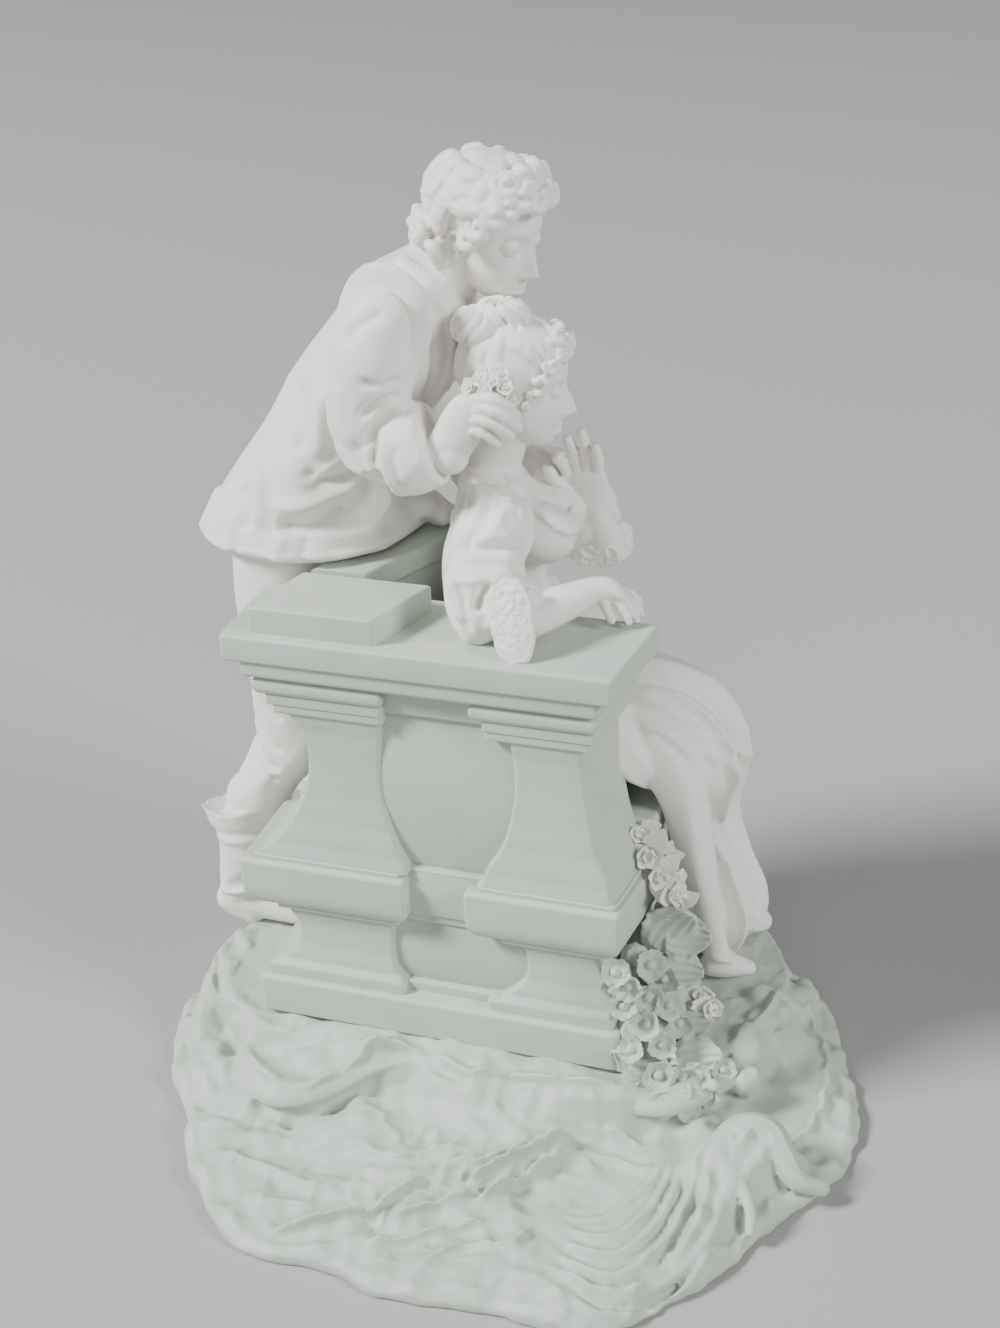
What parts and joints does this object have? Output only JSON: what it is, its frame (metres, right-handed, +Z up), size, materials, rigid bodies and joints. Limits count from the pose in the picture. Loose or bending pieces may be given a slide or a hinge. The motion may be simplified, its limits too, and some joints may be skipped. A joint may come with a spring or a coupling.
{
  "type": "courting couple figurine",
  "caption": "Bisque group of a standing gentleman leaning over a garden bench to a seated lady, on a rocky scrolled base, standing by its own weight.",
  "frame": {"origin": "middle of the underside of the base", "axes": "+X the way the couple face, +Y along the bench away from its pedestal end, +Z up"},
  "size_m": [0.2329, 0.2027, 0.2917],
  "materials": {
    "green_bisque": "unglazed tinted porcelain, matt, pale celadon green",
    "white_bisque": "unglazed white porcelain, matt and faintly translucent"
  },
  "bodies": {
    "root": {"rocky_base": "green_bisque", "garden_bench": "green_bisque", "gentleman": "white_bisque", "lady": "white_bisque", "rose_garland": "white_bisque", "rose_spray_low": "white_bisque"}
  },
  "joints": []
}
